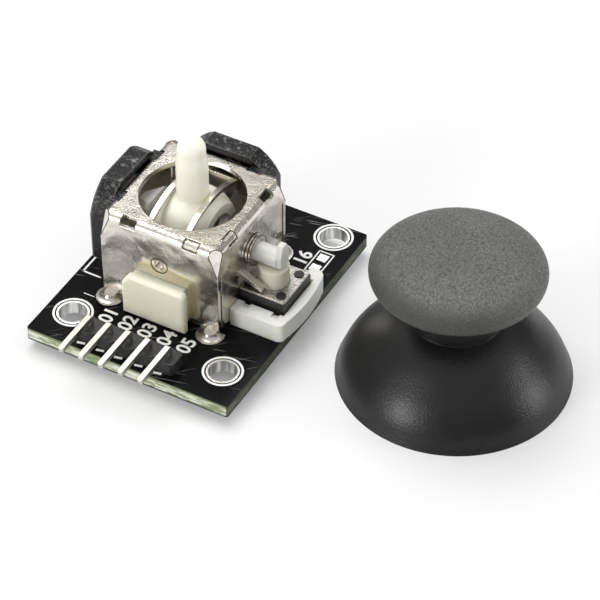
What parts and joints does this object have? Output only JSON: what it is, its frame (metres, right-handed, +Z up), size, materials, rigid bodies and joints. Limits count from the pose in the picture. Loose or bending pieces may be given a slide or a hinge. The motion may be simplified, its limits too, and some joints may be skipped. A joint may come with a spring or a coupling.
{
  "type": "two-axis joystick module",
  "caption": "Two-axis analog joystick on a drilled circuit board, with press switch, bent pin header and a separate mushroom thumb cap.",
  "frame": {"origin": "middle of the board's four mounting holes, on the board's underside", "axes": "+X along the pin header towards the press switch's side, +Y from the header to the rear edge, +Z up out of the board along the stick at rest"},
  "size_m": [0.057, 0.0367, 0.0231],
  "materials": {
    "board_mask": "glossy black board coating over a pale laminate edge, with silver pad rings",
    "header_plastic": "satin black",
    "pin_gold": "pale gold plating",
    "solder": "bright tin",
    "can_steel": "satin nickel plating, mirror-like on the walls",
    "cream_plastic": "smooth cream moulding",
    "white_plastic": "smooth off-white moulding",
    "black_plastic": "satin black moulding",
    "spring_steel": "bright drawn wire",
    "contact_brass": "plain",
    "track_laminate": "brown laminate",
    "grip_rubber": "fine grained grey-black",
    "skirt_plastic": "smooth satin black"
  },
  "bodies": {
    "root": {"circuit_board": "board_mask", "header_block": "header_plastic", "header_pins": "pin_gold", "frame_solder": "solder", "joint_solder": "solder", "cap_grip": "grip_rubber", "cap_skirt": "skirt_plastic", "metal_frame": "can_steel", "base_plate": "cream_plastic", "return_spring": "spring_steel", "switch_body": "black_plastic", "switch_cover": "can_steel", "switch_dome": "spring_steel", "switch_terminals": "solder", "pot_x_housing": "black_plastic", "pot_y_housing": "black_plastic", "pot_x_track": "track_laminate", "pot_y_track": "track_laminate", "pot_x_terminals": "solder", "pot_y_terminals": "solder"},
    "x_drive": {"pot_x_rotor": "white_plastic", "pot_x_wiper": "contact_brass"},
    "yoke": {"yoke": "white_plastic", "stick_pin": "spring_steel"},
    "stick": {"stick": "cream_plastic"},
    "arch": {"slotted_arch": "can_steel", "pot_y_rotor": "white_plastic", "pot_y_wiper": "contact_brass"},
    "pressed": {"switch_button": "cream_plastic", "spring_seat": "black_plastic"}
  },
  "joints": [
    {"name": "press", "type": "hinge", "parent": "root", "child": "pressed", "pos_m": [-0.00895, -0.00057, 0.00895], "axis": [0, 1, 0], "range_deg": [0, 0.78], "stiffness_Nm_per_rad": 2, "springref_deg": -0.46, "deforming": ["switch_dome", "return_spring"]},
    {"name": "tilt_x", "type": "hinge", "parent": "pressed", "child": "yoke", "pos_m": [-0.00095, -0.00057, 0.00895], "axis": [1, 0, 0], "range_deg": [-22, 22], "stiffness_Nm_per_rad": 0.02},
    {"name": "tilt_y", "type": "hinge", "parent": "yoke", "child": "stick", "pos_m": [-0.00095, -0.00057, 0.00895], "axis": [0, 1, 0], "range_deg": [-22, 22], "stiffness_Nm_per_rad": 0.02},
    {"name": "x_turn", "type": "hinge", "parent": "root", "child": "x_drive", "pos_m": [-0.00095, -0.00057, 0.00895], "axis": [1, 0, 0], "range_deg": [-22, 22]},
    {"name": "arch_tilt", "type": "hinge", "parent": "root", "child": "arch", "pos_m": [-0.00095, -0.00057, 0.00895], "axis": [0, 1, 0], "range_deg": [-22, 22]}
  ],
  "couplings": [
    {"joint": "x_turn", "follows": "tilt_x", "ratio": 1},
    {"joint": "arch_tilt", "follows": "tilt_y", "ratio": 1}
  ]
}
